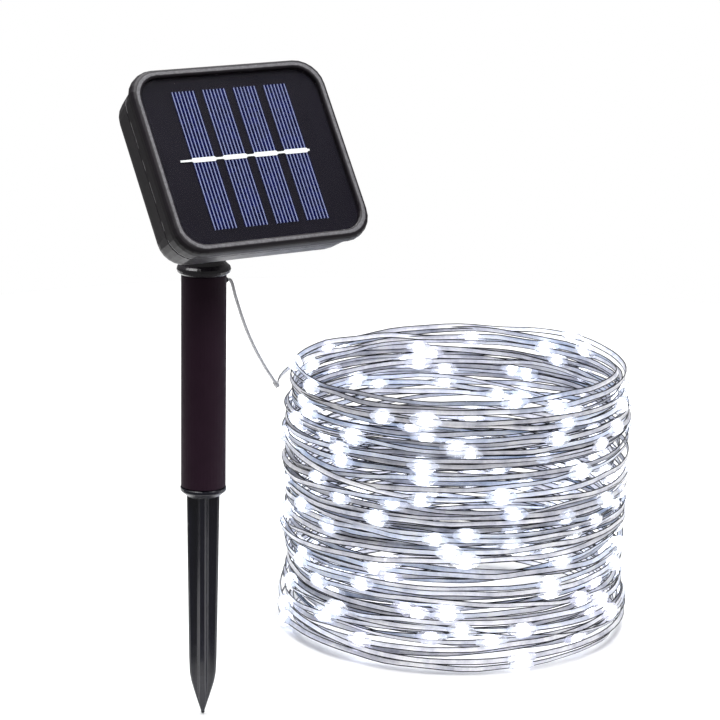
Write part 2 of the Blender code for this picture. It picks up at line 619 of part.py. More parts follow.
def make_board(box):
    """The circuit board with its chip, inductor and capacitor above, and the two tact switches below."""
    top = BOARD_UNDERSIDE + BOARD_THICKNESS
    at = {"location": (0, BOARD_Y, 0), "parent": box}
    make_object("circuit_board", block(44, 24, BOARD_UNDERSIDE, top, bevel=0.1), "circuit_green", **at)
    low = top + 0.1
    make_object("controller_chip", block(5, 4, low, low + 1.6), "chip_black", **at)
    rim = 3.2
    core = 2.6
    bobbin = [(rim, low), (rim, low + 0.8), (core, low + 1.1)]
    bobbin += [(core, low + 3.6), (rim, low + 3.9), (rim, low + 4.6)]
    make_object("power_inductor", revolve(bobbin, 24), "ferrite", (11, BOARD_Y, 0), parent=box)
    can = cylinder(2.5, low, low + 5.4, 20, 0.3)
    make_object("filter_capacitor", can, "switch_metal", (-11, BOARD_Y, 0), parent=box)
    for side, name in ((-1, "power_tact_switch"), (1, "mode_tact_switch")):
        high = BOARD_UNDERSIDE - 0.1
        at = {"location": (side * BUTTON_X, BUTTON_Y, 0), "parent": box}
        switch = make_object(name, block(6, 6, high - 3.4, high), "switch_metal", **at)
        stem = make_object(f"{name}_stem", cylinder(1.5, high - 4.2, high - 2, 16), "switch_metal", **at)
        combine(switch, stem, "UNION")


def make_buttons(box):
    """Each button moves by itself: cap outside, flange inside the floor, and a stem towards its switch."""
    flange = SHELL_FLOOR + GAP
    cap = BUTTON_RADIUS
    wide = cap + 1.2
    stem = 1.4
    profile = [(cap - 0.6, -BUTTON_PROUD), (cap, 0.5 - BUTTON_PROUD), (cap, flange), (wide, flange)]
    profile += [(wide, flange + 0.6), (stem, flange + 0.6), (stem, flange + 1.2)]
    for side, name in ((-1, "power_button"), (1, "mode_button")):
        make_object(name, revolve(profile, 24), "button_rubber", (side * BUTTON_X, BUTTON_Y, 0), parent=box)


def make_battery(box):
    """The rechargeable cell in its holder, a flat contact at one end and a conical spring at the other."""
    along = {"location": (0, BATTERY_Y, BATTERY_AXIS), "rotation": (0, 90, 0), "parent": box}
    body = BATTERY_RADIUS
    low = BATTERY_LOW
    high = BATTERY_LOW + BATTERY_LENGTH
    profile = [(body - 0.6, low), (body, low + 0.6), (body, high - 0.8), (body - 0.8, high)]
    profile += [(BATTERY_NIPPLE, high), (BATTERY_NIPPLE, high + 1.2)]
    make_object("battery_cell", revolve(profile, 32), "battery_wrap", **along)
    heights = (SHELL_FLOOR + GAP, HOLDER_TOP)
    half_x, half_y = HOLDER_HALF_SIZE
    rings = [rounded_rectangle(half_x, half_y, 1.2, height, 2) for height in heights]
    inner_x = half_x - 2.0
    inner_y = BATTERY_RADIUS + 0.6
    rings += [rounded_rectangle(inner_x, inner_y, 0.6, height, 2) for height in reversed(heights)]
    at = {"location": (0, BATTERY_Y, 0), "parent": box}
    make_object("battery_holder", loft(rings, closed=True), "chip_black", **at)
    contact = block(0.5, 9, 2.4, 14.4, bevel=0.1)
    make_object("battery_contact", contact, "contact_nickel", (CONTACT_X, BATTERY_Y, 0), parent=box)
    steps = 12 * SPRING_TURNS
    points = []
    for i in range(steps + 1):
        share = i / steps
        angle = 2 * math.pi * SPRING_TURNS * share
        radius = SPRING_WIDE + (SPRING_NARROW - SPRING_WIDE) * share
        along_x = SPRING_LENGTH * share - CONTACT_X
        points.append((along_x, radius * math.cos(angle), radius * math.sin(angle)))
    make_tube("battery_spring", points, SPRING_WIRE, "contact_nickel", along["location"], box)


def make_lead_and_coil():
    """The lead, its splice sleeve, a plain ring that stands for the coil of lights, and the end cap."""
    lead = smooth_curve(LEAD_ROUTE, LEAD_SPACING)
    make_tube("lead_cable", lead, LEAD_RADIUS, "lead_grey")
    along = (lead[-1] - lead[-2]).normalized()
    start = lead[-1] + along * GAP
    profile = [(SLEEVE_RADIUS - 0.4, 0), (SLEEVE_RADIUS, 0.6), (SLEEVE_RADIUS, SLEEVE_LENGTH - 0.6)]
    profile += [(SLEEVE_RADIUS - 0.4, SLEEVE_LENGTH)]
    turn = [math.degrees(angle) for angle in along.to_track_quat("Z", "Y").to_euler()]
    make_object("splice_sleeve", revolve(profile, 16), "lead_grey", start, turn)
    edge = 3.0
    profile = [(COIL_INNER, edge), (COIL_INNER + edge, 0), (COIL_OUTER - edge, 0), (COIL_OUTER, edge)]
    profile += [(radius, COIL_HEIGHT - height) for radius, height in reversed(profile)]
    ring = revolve(profile, 48, closed=True)
    make_object("light_coil", ring, "light_wire", (*COIL_CENTRE, 0))
    angle = math.radians(END_CAP_ANGLE)
    reach = COIL_INNER - END_CAP_CLEARANCE - END_CAP_RADIUS
    x = COIL_CENTRE[0] + reach * math.cos(angle)
    y = COIL_CENTRE[1] + reach * math.sin(angle)
    cap = cylinder(END_CAP_RADIUS, -END_CAP_LENGTH / 2, END_CAP_LENGTH / 2, 16, 0.6)
    make_object("string_end_cap", cap, "clear_resin", (x, y, END_CAP_RADIUS), (90, 0, END_CAP_ANGLE))


def make_frame(name, location, rotation, parent=None):
    return place(bpy.data.objects.new(name, None), location, rotation, parent)


def main():
    clear_scene()
    make_spike()
    make_tube_and_grommet()
    make_swivel_post()
    head = make_frame("head_on_pivot", (0, 0, PIVOT_HEIGHT), (PANEL_TILT, 0, 0))
    make_hinge(head)
    box = make_frame("box_back", (0, -BOX_DROP, BOX_BACK), (0, 0, 0), head)
    make_rear_shell(box)
    make_bezel(box)
    make_housing_screws(box)
    make_panel(box)
    make_board(box)
    make_buttons(box)
    make_battery(box)
    make_lead_and_coil()


main()
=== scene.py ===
"""Looks of the solar string lights: materials, the wound string of lights, its lead, and the studio."""

import json
import math
import random

import bmesh
import bpy
from mathutils import Matrix, Vector


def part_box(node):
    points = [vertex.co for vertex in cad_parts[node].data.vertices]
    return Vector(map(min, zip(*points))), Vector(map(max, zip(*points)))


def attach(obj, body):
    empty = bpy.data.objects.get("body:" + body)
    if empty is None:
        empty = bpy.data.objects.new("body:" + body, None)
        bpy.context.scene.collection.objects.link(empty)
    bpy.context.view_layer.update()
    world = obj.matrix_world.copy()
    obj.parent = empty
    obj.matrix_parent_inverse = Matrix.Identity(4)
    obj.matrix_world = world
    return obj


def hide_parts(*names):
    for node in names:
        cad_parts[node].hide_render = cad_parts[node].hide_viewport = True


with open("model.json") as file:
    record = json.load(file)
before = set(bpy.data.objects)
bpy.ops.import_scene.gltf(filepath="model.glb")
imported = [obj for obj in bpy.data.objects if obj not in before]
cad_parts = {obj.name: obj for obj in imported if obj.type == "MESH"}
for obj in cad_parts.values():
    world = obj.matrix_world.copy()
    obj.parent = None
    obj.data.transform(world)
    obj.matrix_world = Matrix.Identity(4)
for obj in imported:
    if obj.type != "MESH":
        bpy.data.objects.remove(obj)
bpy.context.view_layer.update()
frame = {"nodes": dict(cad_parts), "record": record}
MM = 0.001
SHARP_ANGLE = math.radians(40)

# Camera: where it stands round the object, and what it looks at
CAMERA_AZIMUTH = math.radians(-32.6)
CAMERA_ELEVATION = math.radians(14.0)
CAMERA_ROLL = math.radians(0.9)
CAMERA_DISTANCE = 1.3
CAMERA_LENS = 146.9
CAMERA_SENSOR = 36
CAMERA_CLIP_END = 20
TARGET_RIGHT = 0.0692
TARGET_HEIGHT = 0.1671

# Solar box, as in the CAD model: its face normal, and how far two of its edges are from the pivot along it
PANEL_TILT = math.radians(54.3)
PIVOT_HEIGHT = 246.5 * MM
FACE_NORMAL = Vector((0, -math.sin(PANEL_TILT), math.cos(PANEL_TILT)))
RIM_TOP = 44.6 * MM
PARTING_LINE = 32.25 * MM
RIM_HIGHLIGHT_DEPTH = (0.01 * MM, 0.06 * MM)  # below the rim's top: where its painted highlight band is full, and where it ends
PARTING_HIGHLIGHT_HEIGHT = (0.6 * MM, 1.3 * MM)  # above the parting line: where its painted highlight is full, and where it ends

# Studio
WORLD_LIGHT = 0.2  # how bright the surround is for what it lights. The camera sees it at 1.
FLOOR_CENTRE = Vector((0.29, 0.32, -0.2 * MM))
FLOOR_RADIUS = 0.5
FLOOR_SIDES = 96
OVERHEAD_PLACE = (0.0, 0.2, 2.4)
OVERHEAD_TARGET = (0.0, 0.2, 0.0)
OVERHEAD_SIZE = 2.6
OVERHEAD_POWER = 105
KEY_PLACE = (0.0, -1.45, 1.3)
KEY_SIZE = 0.5
KEY_POWER = 11

# Silver fingers on the cells, spaced so that each 15 mm cell pitch holds nine
FINGER_PITCH = 15.0 * MM / 9
FINGER_HALF = 0.14 * MM
FINGER_EDGE = 0.08 * MM
FINGER_SHIFT = 600.5  # in pitches: keeps places above zero, and puts a finger down the middle of each cell

# Lead, in metres, from the grommet's nose to the splice sleeve
LEAD_RADIUS = 0.75 * MM
LEAD_STEPS = 6  # points of the line for each point of the route
LEAD_ROUNDNESS = 4
SLEEVE_LENGTH = 7.0 * MM
SLEEVE_GAP = 0.3 * MM
LEAD_ROUTE = [
    (0.0131, 0.0023, 0.2006),
    (0.0147, 0.0026, 0.2003),
    (0.0165, 0.0037, 0.1983),
    (0.0186, 0.0059, 0.1949),
    (0.0213, 0.0090, 0.1909),
    (0.0255, 0.0138, 0.1855),
    (0.0301, 0.0193, 0.1799),
    (0.0351, 0.0252, 0.1742),
    (0.0405, 0.0317, 0.1684),
    (0.0463, 0.0386, 0.1626),
    (0.0525, 0.0459, 0.1567),
    (0.0604, 0.0553, 0.1496),
    (0.0687, 0.0651, 0.1425),
    (0.0770, 0.0750, 0.1357),
    (0.0854, 0.0849, 0.1291),
    (0.0934, 0.0944, 0.1229),
]

# String of lights: two wires in a jacket, wound into a hollow coil
STRAND_RADIUS = 0.28 * MM
STRAND_OFFSET = 1.20 * MM
STRAND_SIDES = 6
STRAND_ARC = math.radians(300)  # how much of each wire's outline shows outside the web
TWIST_WAVES = ((0.45, 9.1, 0.0), (0.3, 23.3, 1.7))  # the string's roll: (radians, radians per metre, phase)
WINDING_SEED = 7
COIL_TURNS = 66
POINTS_PER_TURN = 72
COLUMNS = 5  # places round a turn where the turns are stacked evenly
COIL_MID_RADIUS = 82.4 * MM
COIL_HALF_WALL = 4.2 * MM
COIL_LOW = 2.8 * MM
COIL_HIGH = 132.4 * MM
COIL_SLACK = 0.6 * MM  # how far the string may stray past COIL_LOW and COIL_HIGH
BUNDLES = 3
BUNCHING = 0.016  # how far the stack is drawn into bundles, as a share of its height
WANDER = 6.5  # how many turns a stretch of string strays from its place in the stack
WANDER_TURNS = 0.8
JITTER = 0.6 * MM
SHIVER = 1.3  # the longer waves in height, as a share of the jitter
STRAY_TURNS = 0.62  # this and the next three: how many turns apart the waves' random values are
QUIVER_TURNS = 0.09
SHIVER_TURNS = 0.07
KINK_TURNS = 0.036
BLEND_TURNS = 0.35
LAST_ANGLE = math.radians(3.6)  # how far before the end cap's middle the string stops

# Lights on the string: a clear drop round each, and a lit core inside it
GLOW_SEED = 5
BEAD_SEED = 11
BEAD_SPACING = 0.1435
BEAD_HALF_LENGTH = 7.4 * MM
BEAD_HALF_WIDTH = 3.9 * MM
BEAD_FLATNESS = 0.86
BEAD_SIDES = 8
BEAD_LUMPS = 0.07  # how uneven its corners are, as a share of its width
BEAD_SIZES = (0.9, 1.1)
# Half of a bead's outline, from its middle to its tip: (share of its half length, share of its half width)
BEAD_PROFILE = [(0.0, 1.0), (0.22, 0.97), (0.50, 0.82), (0.78, 0.52), (1.0, 0.20)]
BEAD_GLOW_FADE = 1.1  # the share of its glow that a bead loses over its half length, which leaves none
BEAD_LOWEST = 0.1 * MM  # no corner of a bead is lower than this
CORE_RADII = (3.2 * MM, 2.3 * MM, 2.0 * MM)
GLOW_REACH = 11  # points of the line either side of a bead that its light reaches

# Moulded plastics: {slot: (name, dark and light colour, roughness, grains per metre, grain depth, specular)}
PLASTICS = {
    "black_abs": ("abs_grain", (0.011, 0.009, 0.012), (0.018, 0.014, 0.019), 0.36, 2600, 0.25, 0.5),
    "tube_plastic": ("tube_matte", (0.026, 0.0095, 0.0215), (0.032, 0.0125, 0.0265), 0.6, 2200, 0.4, 0.2),
    "spike_plastic": ("spike_satin", (0.006, 0.006, 0.012), (0.011, 0.011, 0.021), 0.22, 1500, 0.06, 0.6),
    "seal_rubber": ("seal_rubber", (0.010, 0.010, 0.011), (0.018, 0.018, 0.019), 0.7, 1800, 0.4, 0.5),
    "circuit_green": ("solder_mask", (0.010, 0.09, 0.035), (0.018, 0.14, 0.055), 0.35, 1200, 0.15, 0.5),
    "chip_black": ("chip_epoxy", (0.012, 0.012, 0.012), (0.022, 0.022, 0.022), 0.55, 3000, 0.3, 0.5),
    "ferrite": ("ferrite", (0.035, 0.035, 0.038), (0.065, 0.065, 0.07), 0.6, 2500, 0.5, 0.5),
    "button_rubber": ("button_rubber", (0.05, 0.05, 0.053), (0.075, 0.075, 0.08), 0.7, 1800, 0.3, 0.5),
    "battery_wrap": ("battery_wrap", (0.03, 0.20, 0.05), (0.05, 0.28, 0.08), 0.3, 700, 0.1, 0.5),
    "holder_black": ("holder_black", (0.012, 0.012, 0.012), (0.022, 0.022, 0.022), 0.5, 2400, 0.3, 0.5),
    "lead_grey": ("lead_grey", (0.42, 0.42, 0.43), (0.52, 0.52, 0.53), 0.4, 900, 0.15, 0.5),
}
POST_POLISH = ("post_polish", (0.016, 0.013, 0.018), (0.026, 0.021, 0.029), 0.2, 1500, 0.06, 0.8)

# Metals: {slot: (dark and light colour, roughness, metallic)}
METALS = {
    "screw_steel": ((0.30, 0.30, 0.31), (0.52, 0.52, 0.54), 0.32, 1.0),
    # near white and not metallic: the ribbon's brightness is a painted reflection, the same under any light
    "tinned_ribbon": ((0.86, 0.90, 0.88), (0.97, 0.99, 0.98), 0.5, 0.0),
    "switch_metal": ((0.52, 0.52, 0.54), (0.72, 0.72, 0.74), 0.3, 1.0),
    "contact_nickel": ((0.55, 0.54, 0.50), (0.75, 0.74, 0.70), 0.25, 1.0),
}

# Colours mixed into other materials
# painted highlight: the grey of the broken pale line along the bezel's parting line
PARTING_HIGHLIGHT_GREY = (0.40, 0.39, 0.41, 1)
FINGER_SILVER = (0.36, 0.41, 0.68, 1)


class Shader:
    """A node material with one Principled shader and short ways to add what feeds it."""

    def __init__(self, name, **values):
        self.material = bpy.data.materials.new(name)
        self.material.use_nodes = True
        self.tree = self.material.node_tree
        self.shader = self.tree.nodes["Principled BSDF"]
        self.coords = self.tree.nodes.new("ShaderNodeTexCoord").outputs["Object"]
        for key, value in values.items():
            socket = self.shader.inputs[key.replace("_", " ")]
            socket.default_value = (*value, 1.0) if isinstance(value, tuple) else value

    def feed(self, name, source):
        """Links a source to one of the Principled shader's inputs."""
        self.tree.links.new(source, self.shader.inputs[name])

    def node(self, kind, inputs=None, **settings):
        node = self.tree.nodes.new(kind)
        for key, value in settings.items():
            setattr(node, key, value)
        for key, value in (inputs or {}).items():
            if isinstance(value, bpy.types.NodeSocket):
                self.tree.links.new(value, node.inputs[key])
            else:
                node.inputs[key].default_value = value
        return node

    def noise(self, scale, detail, roughness=0.5):
        """Noise whose features are about 1/scale metres across."""
        inputs = {"Vector": self.coords, "Scale": scale, "Detail": detail, "Roughness": roughness}
        return self.node("ShaderNodeTexNoise", inputs).outputs["Fac"]

    def ramp(self, factor, stops):
        """A colour ramp through (position, colour) stops."""
        node = self.node("ShaderNodeValToRGB", {"Fac": factor})
        elements = node.color_ramp.elements
        while len(elements) < len(stops):
            elements.new(0.5)
        for element, (position, colour) in zip(elements, stops):
            element.position = position
            element.color = (*colour, 1.0)
        return node.outputs["Color"]

    def spread(self, factor, low, high):
        """The factor's middle range spread over low to high."""
        return self.map_range(factor, 0.3, 0.7, low, high)

    def map_range(self, value, from_min, from_max, to_min=0.0, to_max=1.0):
        inputs = {"Value": value, "From Min": from_min, "From Max": from_max}
        inputs.update({"To Min": to_min, "To Max": to_max})
        return self.node("ShaderNodeMapRange", inputs).outputs["Result"]

    def math(self, operation, first, second):
        return self.node("ShaderNodeMath", {0: first, 1: second}, operation=operation).outputs["Value"]

    def mix(self, factor, first, second):
        """The first colour where the factor is 0, and the second where it is 1."""
        return self.node("ShaderNodeMix", {0: factor, 6: first, 7: second}, data_type="RGBA").outputs[2]

    def glow(self):
        """How strongly a light near each point lights it, as stored in the mesh."""
        return self.node("ShaderNodeAttribute", attribute_name="glow").outputs["Fac"]

    def bump(self, height, strength, distance, below=None):
        inputs = {"Height": height, "Strength": strength, "Distance": distance}
        if below is not None:
            inputs["Normal"] = below
        return self.node("ShaderNodeBump", inputs).outputs["Normal"]

    def feed_grain(self, scale, depth):
        """Spark-eroded grain over the slow ripple of a moulding."""
        ripple = self.bump(self.noise(90, 2), 0.12, 0.0004)
        self.feed("Normal", self.bump(self.noise(scale, 2), depth, 0.00008, ripple))


def moulded_plastic(name, dark, light, roughness, grain, grain_depth, specular):
    """Moulded plastic: fine grain, a slow drift of colour, and roughness that varies with handling."""
    m = Shader(name, Specular_IOR_Level=specular)
    m.feed("Base Color", m.ramp(m.noise(60, 4, 0.6), [(0.3, dark), (0.7, light)]))
    m.feed("Roughness", m.spread(m.noise(240, 5, 0.7), roughness - 0.06, roughness + 0.06))
    m.feed_grain(grain, grain_depth)
    return m.material


def metal(name, dark, light, roughness, metallic):
    """Plated or stamped metal with fine marks."""
    m = Shader(name, Metallic=metallic)
    marks = m.noise(700, 4, 0.6)
    m.feed("Base Color", m.ramp(marks, [(0.3, dark), (0.7, light)]))
    m.feed("Roughness", m.spread(m.noise(1500, 3), roughness - 0.08, roughness + 0.08))
    m.feed("Normal", m.bump(marks, 0.15, 0.00005))
    return m.material


def bezel_plastic():
    """Black plastic with two painted highlights: a paler band on its rim's top, and a broken pale edge along
    its parting line.
    """
    m = Shader("bezel_plastic", Specular_IOR_Level=0.35)
    black = m.ramp(m.noise(60, 4, 0.6), [(0.3, (0.011, 0.009, 0.012)), (0.7, (0.018, 0.014, 0.019))])
    # the pale grey of the painted highlights on the bezel
    pale = m.ramp(m.noise(900, 4, 0.6), [(0.3, (0.10, 0.098, 0.106)), (0.7, (0.190, 0.186, 0.200))])
    along_normal = m.node("ShaderNodeVectorMath", {0: m.coords, 1: FACE_NORMAL}, operation="DOT_PRODUCT")
    ragged = m.spread(m.noise(350, 3), -0.02 * MM, 0.02 * MM)
    height = m.math("ADD", along_normal.outputs["Value"], ragged)
    rim = FACE_NORMAL.z * PIVOT_HEIGHT + RIM_TOP
    parting = FACE_NORMAL.z * PIVOT_HEIGHT + PARTING_LINE
    # painted highlight: the rim's top face is painted pale grey
    rim_highlight = m.map_range(height, rim - RIM_HIGHLIGHT_DEPTH[1], rim - RIM_HIGHLIGHT_DEPTH[0])
    # painted highlight: a broken pale line painted along the bezel's edge at the parting line
    parting_highlight = m.map_range(height, parting + PARTING_HIGHLIGHT_HEIGHT[1], parting + PARTING_HIGHLIGHT_HEIGHT[0], 0.0, 0.8)
    dashed_parting_highlight = m.math("MULTIPLY", parting_highlight, m.map_range(m.noise(140, 2), 0.45, 0.52))
    wear_and_highlight = m.mix(rim_highlight, black, pale)
    m.feed("Base Color", m.mix(dashed_parting_highlight, wear_and_highlight, PARTING_HIGHLIGHT_GREY))
    m.feed("Roughness", m.spread(m.noise(240, 5, 0.7), 0.34, 0.46))
    m.feed_grain(2600, 0.25)
    return m.material


def laminate_black():
    """The panel's black board under clear resin: even, slightly purple, with a soft gloss."""
    m = Shader("laminate_black", Specular_IOR_Level=0.1)
    stops = [(0.3, (0.0058, 0.0048, 0.0095)), (0.7, (0.0075, 0.0062, 0.0120))]
    m.feed("Base Color", m.ramp(m.noise(35, 3), stops))
    m.feed("Roughness", m.spread(m.noise(300, 3), 0.30, 0.38))
    m.feed("Normal", m.bump(m.noise(160, 2), 0.03, 0.0002))
    return m.material


def cell_silicon():
    """Blue silicon crossed by fine silver fingers, with crystal grains of slightly different blue."""
    m = Shader("cell_silicon", Specular_IOR_Level=0.04)
    grains = m.node("ShaderNodeTexVoronoi", {"Vector": m.coords, "Scale": 420.0}).outputs["Color"]
    tone = m.node("ShaderNodeSeparateColor", {"Color": grains}).outputs["Red"]
    stops = [(0.0, (0.0002, 0.0004, 0.020)), (0.6, (0.0004, 0.0012, 0.034)), (1.0, (0.0010, 0.0028, 0.055))]
    silicon = m.ramp(tone, stops)
    across = m.node("ShaderNodeSeparateXYZ", {"Vector": m.coords}).outputs["X"]
    shifted = m.math("ADD", across, FINGER_PITCH * FINGER_SHIFT)
    folded = m.math("PINGPONG", shifted, FINGER_PITCH / 2)
    finger = m.map_range(folded, FINGER_HALF, FINGER_HALF + FINGER_EDGE, 1.0, 0.0)
    wear_and_highlight = m.math("MULTIPLY", finger, m.spread(m.noise(700, 3), 0.8, 1.0))
    m.feed("Base Color", m.mix(wear_and_highlight, silicon, FINGER_SILVER))
    m.feed("Roughness", m.spread(m.noise(900, 3), 0.22, 0.34))
    m.feed("Normal", m.bump(finger, 0.3, 0.00003))
    return m.material


def clear_cover():
    """Cast clear resin, thin enough to see straight through, with a slight ripple."""
    m = Shader("clear_cover", Base_Color=(0.95, 0.97, 1.0), Transmission_Weight=1.0, IOR=1.45, Alpha=0.10)
    m.feed("Roughness", m.spread(m.noise(500, 3), 0.03, 0.08))
    m.feed("Normal", m.bump(m.noise(120, 2), 0.04, 0.0002))
    return m.material


def strand_metal():
    """Near-black wire with some brighter stretches."""
    m = Shader("strand_metal", Specular_IOR_Level=0.25)
    tone = m.noise(150, 3, 0.6)
    stops = [(0.42, (0.004, 0.004, 0.006)), (0.60, (0.014, 0.015, 0.021)), (0.74, (0.13, 0.135, 0.17))]
    m.feed("Base Color", m.ramp(tone, stops))
    m.feed("Roughness", m.spread(m.noise(800, 2), 0.28, 0.42))
    m.feed("Normal", m.bump(m.noise(1400, 2), 0.2, 0.00005))
    return m.material


def web_jacket():
    """The pale jacket between the two wires. It carries a cool glow away from some of the lights."""
    m = Shader("web_jacket", IOR=1.45)
    stops = [(0.31, (0.48, 0.49, 0.57)), (0.47, (0.75, 0.75, 0.82)), (0.61, (0.97, 0.97, 1.00))]
    m.feed("Base Color", m.ramp(m.noise(75, 4, 0.65), stops))
    glow = m.glow()
    glow_stops = [(0.0, (0.62, 0.62, 0.80)), (0.5, (0.40, 0.62, 1.0))]
    m.feed("Emission Color", m.ramp(glow, glow_stops))
    patchy = m.spread(m.noise(120, 3), 0.6, 1.3)
    strength = m.math("MULTIPLY", m.map_range(glow, 0.0, 1.0, 0.0, 0.36), patchy)
    m.feed("Emission Strength", strength)
    m.feed("Roughness", m.spread(m.noise(500, 2), 0.25, 0.40))
    m.feed("Normal", m.bump(m.noise(900, 2), 0.2, 0.0001))
    return m.material


def bead_resin():
    """The clear drop round each light: lit from inside at its middle, with clear, slightly milky facets."""
    m = Shader("bead_resin", Base_Color=(0.86, 0.88, 0.95), IOR=1.5, Transmission_Weight=0.75)
    stops = [(0.35, (0.66, 0.76, 1.0)), (0.5, (0.90, 0.94, 1.0)), (0.65, (0.84, 0.82, 1.0))]
    m.feed("Emission Color", m.ramp(m.noise(16, 2), stops))
    patchy = m.spread(m.noise(420, 2), 0.7, 1.2)
    strength = m.math("MULTIPLY", m.map_range(m.glow(), 0.0, 1.0, 0.12, 0.45), patchy)
    m.feed("Emission Strength", strength)
    m.feed("Roughness", m.spread(m.noise(600, 2), 0.06, 0.16))
    m.feed("Normal", m.bump(m.noise(420, 2), 0.3, 0.0004))
    return m.material


def bead_core():
    """The lit chip: white, and uneven like phosphor."""
    m = Shader("bead_core", Base_Color=(1.0, 1.0, 1.0), Emission_Color=(0.93, 0.96, 1.0), Roughness=0.4)
    m.feed("Emission Strength", m.spread(m.noise(900, 2), 1.9, 2.4))
    return m.material


def make_materials():
    materials = {slot: moulded_plastic(*values) for slot, values in PLASTICS.items()}
    materials.update({slot: metal(slot, *values) for slot, values in METALS.items()})
    materials["panel_board"] = laminate_black()
    materials["solar_cell"] = cell_silicon()
    materials["clear_resin"] = clear_cover()
    materials["light_wire"] = strand_metal()
    materials["web_jacket"] = web_jacket()
    materials["bead_resin"] = bead_resin()
    materials["bead_core"] = bead_core()
    return materials


def paint(node, material):
    node.data.materials.clear()
    node.data.materials.append(material)


def paint_frame(materials):
    """Gives every CAD node the finished material of its slot, and two of them one of their own."""
    for row in frame["record"]["subparts"]:
        paint(frame["nodes"][row["node"]], materials[row["material_slot"]])
    paint(frame["nodes"]["front_bezel"], bezel_plastic())
    paint(frame["nodes"]["swivel_post"], moulded_plastic(*POST_POLISH))


def new_object(name, bm, material, smooth=True):
    mesh = bpy.data.meshes.new(name)
    bm.to_mesh(mesh)
    bm.free()
    if smooth:
        mesh.shade_smooth()
        mesh.set_sharp_from_angle(angle=SHARP_ANGLE)
    mesh.materials.append(material)
    obj = bpy.data.objects.new(name, mesh)
    bpy.context.scene.collection.objects.link(obj)
    return obj


def catmull_rom(points, steps):
    """A smooth line through points, with some steps between each two."""
    points = [Vector(p) for p in points]
    padded = [2 * points[0] - points[1], *points, 2 * points[-1] - points[-2]]
    line = []
    for before, start, end, after in zip(padded, padded[1:], padded[2:], padded[3:]):
        for step in range(steps):
            t = step / steps
            pull = (end - before) * t + (2 * before - 5 * start + 4 * end - after) * t * t
            twist = (3 * start - before - 3 * end + after) * t**3
            line.append(start + 0.5 * (pull + twist))
    line.append(points[-1])
    return line


def make_lead(materials):
    """The grey lead as a curve on the route, from the grommet to the splice sleeve."""
    line = catmull_rom(LEAD_ROUTE, LEAD_STEPS)
    curve = bpy.data.curves.new("lead", "CURVE")
    curve.dimensions = "3D"
    curve.bevel_depth = LEAD_RADIUS
    curve.bevel_resolution = LEAD_ROUNDNESS
    curve.use_fill_caps = True
    spline = curve.splines.new("POLY")
    spline.points.add(len(line) - 1)
    for spline_point, point in zip(spline.points, line):
        spline_point.co = (*point, 1.0)
    curve.materials.append(materials["lead_grey"])
    lead = bpy.data.objects.new("lead", curve)
    bpy.context.scene.collection.objects.link(lead)
    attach(lead, "stake")
    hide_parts("lead_cable")
    return line


def ease(share):
    """The share from 0 to 1, with a gentle start and end."""
    share = min(1.0, max(0.0, share))
    return share * share * (3 - 2 * share)


def smooth_noise(rng, length, spacing):
    """A smooth random function from 0 to length, between -1 and 1, with a new value at each spacing."""
    values = [rng.uniform(-1, 1) for _ in range(math.ceil(length / spacing) + 3)]

    def sample(t):
        index = int(t / spacing)
        share = ease(t / spacing - index)
        return values[index] + (values[index + 1] - values[index]) * share

    return sample


def stacked_heights(turns, rng):
    """A height for each pass of a column. The turns there are evenly stacked, but only loosely in order."""
    wander = smooth_noise(rng, turns + 1, WANDER_TURNS)
    count = int(turns * COLUMNS) + 2
    heights = [0.0] * count
    for column in range(COLUMNS):
        passes = range(column, count, COLUMNS)
        stack = sorted(passes, key=lambda index: index / COLUMNS + WANDER * wander(index / COLUMNS))
        for rank, index in enumerate(stack):
            share = (rank + 0.5) / len(stack)
            share += BUNCHING * math.sin(2 * math.pi * BUNDLES * share)
            heights[index] = COIL_HIGH + (COIL_LOW - COIL_HIGH) * share + rng.uniform(-JITTER, JITTER)
    return heights


def curve_value(values, place):
    """The value at a place along evenly spaced values, on a smooth curve through them."""
    index = min(int(place), len(values) - 2)
    t = place - index
    before, start, end, after = (values[min(max(index + k, 0), len(values) - 1)] for k in (-1, 0, 1, 2))
    pull = (end - before) * t + (2 * before - 5 * start + 4 * end - after) * t * t
    return start + 0.5 * (pull + (3 * start - before - 3 * end + after) * t**3)


def string_line(start):
    """The string's centreline, round and round the coil from the splice sleeve to the end cap."""
    low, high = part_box("light_coil")
    centre = (low + high) / 2
    cap_low, cap_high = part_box("string_end_cap")
    cap = (cap_low + cap_high) / 2
    rng = random.Random(WINDING_SEED)
    first_angle = math.atan2(start.y - centre.y, start.x - centre.x)
    last_angle = math.atan2(cap.y - centre.y, cap.x - centre.x) + LAST_ANGLE
    turns = COIL_TURNS + (first_angle - last_angle) / (2 * math.pi) % 1
    first = (math.hypot(start.x - centre.x, start.y - centre.y), start.z)
    last = (math.hypot(cap.x - centre.x, cap.y - centre.y), cap.z)
    heights = stacked_heights(turns, rng)
    stray = smooth_noise(rng, turns + 1, STRAY_TURNS)
    shiver = smooth_noise(rng, turns + 1, SHIVER_TURNS)
    quiver = smooth_noise(rng, turns + 1, QUIVER_TURNS)
    kinks = smooth_noise(rng, turns + 1, KINK_TURNS)
    line = []
    count = round(turns * POINTS_PER_TURN)
    for i in range(count + 1):
        turn = turns * i / count
        radius = COIL_MID_RADIUS + COIL_HALF_WALL * stray(turn) + JITTER * quiver(turn)
        height = curve_value(heights, turn * COLUMNS) + JITTER * (SHIVER * shiver(turn) + kinks(turn))
        height = min(max(height, COIL_LOW - COIL_SLACK), COIL_HIGH + COIL_SLACK)
        for (end_radius, end_height), distance in ((first, turn), (last, turns - turn)):
            share = ease(distance / BLEND_TURNS)
            radius = end_radius + (radius - end_radius) * share
            height = end_height + (height - end_height) * share
        angle = first_angle - 2 * math.pi * turn
        x = centre.x + radius * math.cos(angle)
        y = centre.y + radius * math.sin(angle)
        line.append(Vector((x, y, height)))
    return line


